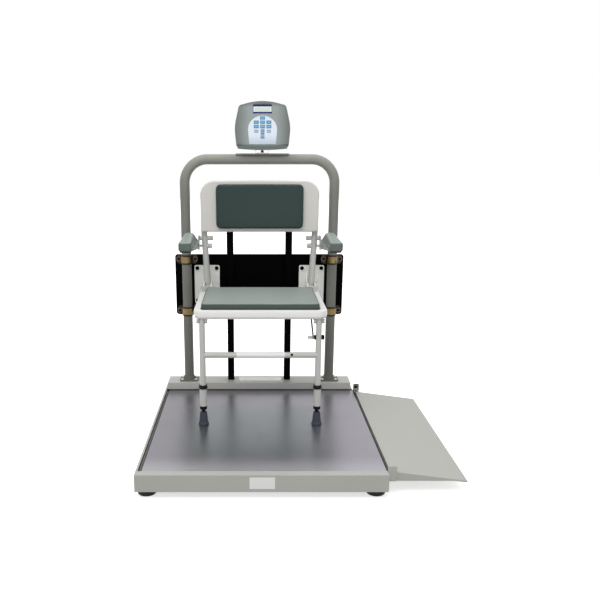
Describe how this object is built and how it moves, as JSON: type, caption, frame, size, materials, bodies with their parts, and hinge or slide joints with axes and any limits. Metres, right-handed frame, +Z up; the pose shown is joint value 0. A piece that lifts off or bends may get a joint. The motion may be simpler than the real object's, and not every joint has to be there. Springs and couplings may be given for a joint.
{
  "type": "wheelchair scale",
  "caption": "Roll-on platform scale with a side ramp, an arched handrail with a tilting display, and a fold-up chair with armrests and adjustable legs.",
  "frame": {"origin": "on the floor, at the middle of the footprint's bounding box", "axes": "+X towards the ramp, +Y from the platform's front edge to the handrail, +Z up"},
  "size_m": [1.0758, 0.914, 1.2728],
  "materials": {
    "grey_paint": "satin grey paint",
    "white_paint": "semi-gloss white paint",
    "white_shell": "smooth white moulding",
    "black_paint": "satin black paint",
    "brushed_deck": "brushed, with blurred reflections",
    "yellow_zinc": "yellow zinc plate",
    "bright_steel": "bright",
    "load_cell": "milled",
    "black_plastic": "matte",
    "black_rubber": "matte",
    "grey_rubber": "matte",
    "dark_vinyl": "smooth vinyl",
    "seat_vinyl": "smooth vinyl",
    "housing_plastic": "fine texture",
    "lcd_glass": "clear window",
    "key_membrane": "printed membrane",
    "green_board": "circuit board"
  },
  "bodies": {
    "base": {"platform_frame": "grey_paint", "deck_plate": "brushed_deck", "rear_channel": "grey_paint", "load_cell_front_left": "load_cell", "load_cell_front_right": "load_cell", "load_cell_rear_left": "load_cell", "load_cell_rear_right": "load_cell", "ramp_bracket_front": "grey_paint", "ramp_bracket_rear": "grey_paint", "handrail": "grey_paint", "cross_plate": "black_paint", "rail_flange_left": "grey_paint", "post_left": "black_paint", "pipe_clamp_upper_left": "yellow_zinc", "pipe_clamp_lower_left": "yellow_zinc", "seat_bracket_left": "white_paint", "seat_hinge_pin_left": "bright_steel", "arm_pivot_bolt_left": "bright_steel", "rail_flange_right": "grey_paint", "post_right": "black_paint", "pipe_clamp_upper_right": "yellow_zinc", "pipe_clamp_lower_right": "yellow_zinc", "seat_bracket_right": "white_paint", "seat_hinge_pin_right": "bright_steel", "arm_pivot_bolt_right": "bright_steel", "backrest_frame": "white_paint", "backrest_shell": "white_shell", "backrest_pad": "dark_vinyl", "display_saddle": "bright_steel"},
    "foot_front_left": {"levelling_foot_front_left": "black_rubber"},
    "foot_front_right": {"levelling_foot_front_right": "black_rubber"},
    "foot_rear_left": {"levelling_foot_rear_left": "black_rubber"},
    "foot_rear_right": {"levelling_foot_rear_right": "black_rubber"},
    "ramp": {"ramp_plate": "grey_paint"},
    "seat": {"seat_shell": "white_shell", "seat_pad": "seat_vinyl", "leg_pivot_bolt_left": "black_plastic", "leg_pivot_bolt_right": "black_plastic"},
    "legs": {"leg_frame": "white_paint", "stay_bolt": "black_plastic"},
    "stay": {"stay_rod": "bright_steel"},
    "leg_end_left": {"leg_sleeve_left": "white_paint", "leg_collar_left": "black_plastic", "leg_stud_left": "black_plastic", "leg_tip_left": "grey_rubber"},
    "arm_left": {"arm_left": "white_paint", "arm_pad_left": "seat_vinyl"},
    "leg_end_right": {"leg_sleeve_right": "white_paint", "leg_collar_right": "black_plastic", "leg_stud_right": "black_plastic", "leg_tip_right": "grey_rubber"},
    "arm_right": {"arm_right": "white_paint", "arm_pad_right": "seat_vinyl"},
    "yoke": {"display_yoke": "bright_steel"},
    "head": {"display_front": "housing_plastic", "display_rear": "housing_plastic", "display_board": "green_board", "lcd_window": "lcd_glass", "keypad": "key_membrane"}
  },
  "joints": [
    {"name": "ramp_fold", "type": "hinge", "parent": "base", "child": "ramp", "pos_m": [0.2856, -0.033, 0.085], "axis": [0, -1, 0], "range_deg": [-8.9, 105]},
    {"name": "seat_fold", "type": "hinge", "parent": "base", "child": "seat", "pos_m": [-0.1314, 0.343, 0.54], "axis": [-1, 0, 0], "range_deg": [0, 78]},
    {"name": "leg_fold", "type": "hinge", "parent": "seat", "child": "legs", "pos_m": [-0.1314, -0.027, 0.484], "axis": [-1, 0, 0], "range_deg": [-78, 0]},
    {"name": "stay_swing", "type": "hinge", "parent": "legs", "child": "stay", "pos_m": [0.0616, -0.027, 0.423], "axis": [-1, 0, 0], "range_deg": [0, 93]},
    {"name": "leg_height_left", "type": "slide", "parent": "legs", "child": "leg_end_left", "axis": [0, 0, 1], "range_m": [0, 0.03]},
    {"name": "arm_fold_left", "type": "hinge", "parent": "base", "child": "arm_left", "pos_m": [-0.3784, 0.373, 0.737], "axis": [-1, 0, 0], "range_deg": [0, 75]},
    {"name": "leg_height_right", "type": "slide", "parent": "legs", "child": "leg_end_right", "axis": [0, 0, 1], "range_m": [0, 0.03]},
    {"name": "arm_fold_right", "type": "hinge", "parent": "base", "child": "arm_right", "pos_m": [0.1156, 0.373, 0.737], "axis": [-1, 0, 0], "range_deg": [0, 75]},
    {"name": "display_swivel", "type": "hinge", "parent": "base", "child": "yoke", "pos_m": [-0.1209, 0.411, 1.0743], "axis": [0, 0, 1], "range_deg": [-90, 90]},
    {"name": "display_tilt", "type": "hinge", "parent": "yoke", "child": "head", "pos_m": [-0.1209, 0.411, 1.1035], "axis": [-1, 0, 0], "range_deg": [-15, 20]},
    {"name": "foot_turn_front_left", "type": "hinge", "parent": "base", "child": "foot_front_left", "pos_m": [-0.5039, -0.412, 0], "axis": [0, 0, 1], "continuous": true},
    {"name": "foot_turn_front_right", "type": "hinge", "parent": "base", "child": "foot_front_right", "pos_m": [0.2411, -0.412, 0], "axis": [0, 0, 1], "continuous": true},
    {"name": "foot_turn_rear_left", "type": "hinge", "parent": "base", "child": "foot_rear_left", "pos_m": [-0.5039, 0.412, 0], "axis": [0, 0, 1], "continuous": true},
    {"name": "foot_turn_rear_right", "type": "hinge", "parent": "base", "child": "foot_rear_right", "pos_m": [0.2411, 0.412, 0], "axis": [0, 0, 1], "continuous": true}
  ],
  "couplings": [
    {"joint": "leg_fold", "follows": "seat_fold", "ratio": -1},
    {"joint": "stay_swing", "follows": "seat_fold", "ratio": 1.19}
  ]
}
